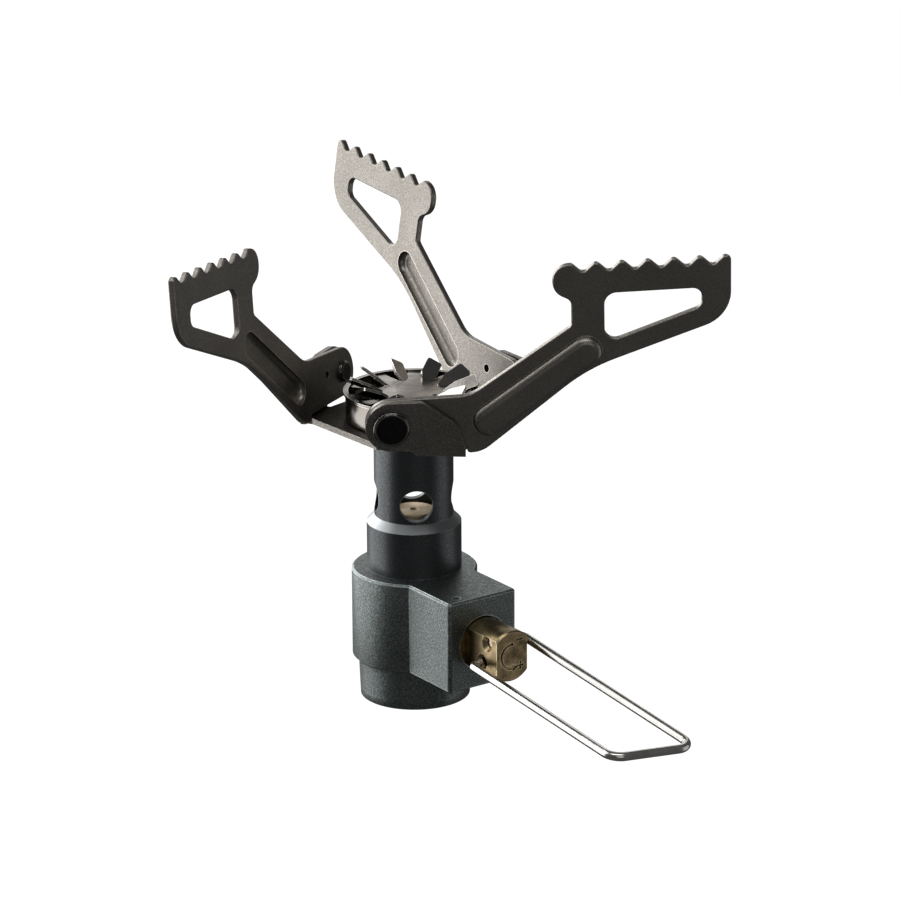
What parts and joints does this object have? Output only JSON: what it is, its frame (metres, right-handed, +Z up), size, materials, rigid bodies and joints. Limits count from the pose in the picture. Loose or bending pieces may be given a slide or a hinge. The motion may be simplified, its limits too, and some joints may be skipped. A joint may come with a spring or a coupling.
{
  "type": "camping stove",
  "caption": "Canister-top camping stove with fold-over pot supports, a bladed burner head, a mixing tube and a wire handle on its valve spindle.",
  "frame": {"origin": "centre of the mouth of the canister socket, on the mixing tube's axis", "axes": "+Z up the mixing tube from the canister to the pot, -Y along the valve spindle towards the wire handle, +X to the handle's right seen from above with the handle pointing towards the viewer"},
  "size_m": [0.0922, 0.1245, 0.0892],
  "materials": {
    "anodised_body": "bead-blasted and anodised dark slate grey",
    "anodised_tube": "turned and anodised dark grey",
    "titanium": "bead-blasted titanium sheet",
    "rivet_black": "black satin with a bright edge",
    "stainless": "polished stainless steel",
    "burner_steel": "polished stainless steel with heat tint",
    "spindle_brass": "dull antique brass",
    "jet_brass": "machined brass",
    "filter_bronze": "sintered bronze",
    "rubber": "smooth black rubber"
  },
  "bodies": {
    "base": {"valve_body": "anodised_body", "canister_seal": "rubber", "opener_pin": "jet_brass", "inlet_filter": "filter_bronze", "retaining_pin": "stainless", "jet": "jet_brass", "mixing_tube": "anodised_tube", "burner_bracket": "titanium", "burner_cup": "burner_steel", "flame_mesh": "burner_steel", "flame_plate": "burner_steel", "pivot_rivet_1": "rivet_black", "pivot_rivet_2": "rivet_black", "pivot_rivet_3": "rivet_black", "pivot_washer_1": "stainless", "pivot_washer_2": "stainless", "pivot_washer_3": "stainless"},
    "support_1": {"pot_support_1": "titanium"},
    "support_2": {"pot_support_2": "titanium"},
    "support_3": {"pot_support_3": "titanium"},
    "seal_ring": {"spindle_seal": "rubber"},
    "spindle": {"valve_spindle": "spindle_brass"},
    "handle": {"wire_handle": "stainless"}
  },
  "joints": [
    {"name": "support_1_fold", "type": "hinge", "parent": "base", "child": "support_1", "pos_m": [-0.01292, -0.01148, 0.0566], "axis": [-0.4971, -0.861, -0.108], "range_deg": [0, 225]},
    {"name": "support_2_fold", "type": "hinge", "parent": "base", "child": "support_2", "pos_m": [0.0164, -0.00545, 0.0566], "axis": [0.9942, 0, -0.108], "range_deg": [0, 225]},
    {"name": "support_3_fold", "type": "hinge", "parent": "base", "child": "support_3", "pos_m": [-0.00348, 0.01693, 0.0566], "axis": [-0.4971, 0.861, -0.108], "range_deg": [0, 225]},
    {"name": "spindle_travel", "type": "slide", "parent": "base", "child": "seal_ring", "axis": [0, -1, 0], "range_m": [0, 0.0015]},
    {"name": "spindle_turn", "type": "hinge", "parent": "seal_ring", "child": "spindle", "pos_m": [0, -0.0148, 0.0156], "axis": [0, -1, 0], "range_deg": [0, 720]},
    {"name": "handle_swing", "type": "hinge", "parent": "spindle", "child": "handle", "pos_m": [0, -0.0267, 0.0177], "axis": [1, 0, 0], "range_deg": [-75, 90]}
  ],
  "couplings": [
    {"joint": "support_2_fold", "follows": "support_1_fold", "ratio": 1},
    {"joint": "support_3_fold", "follows": "support_1_fold", "ratio": 1},
    {"joint": "spindle_travel", "follows": "spindle_turn", "m_per_rad": 0.00011937}
  ]
}
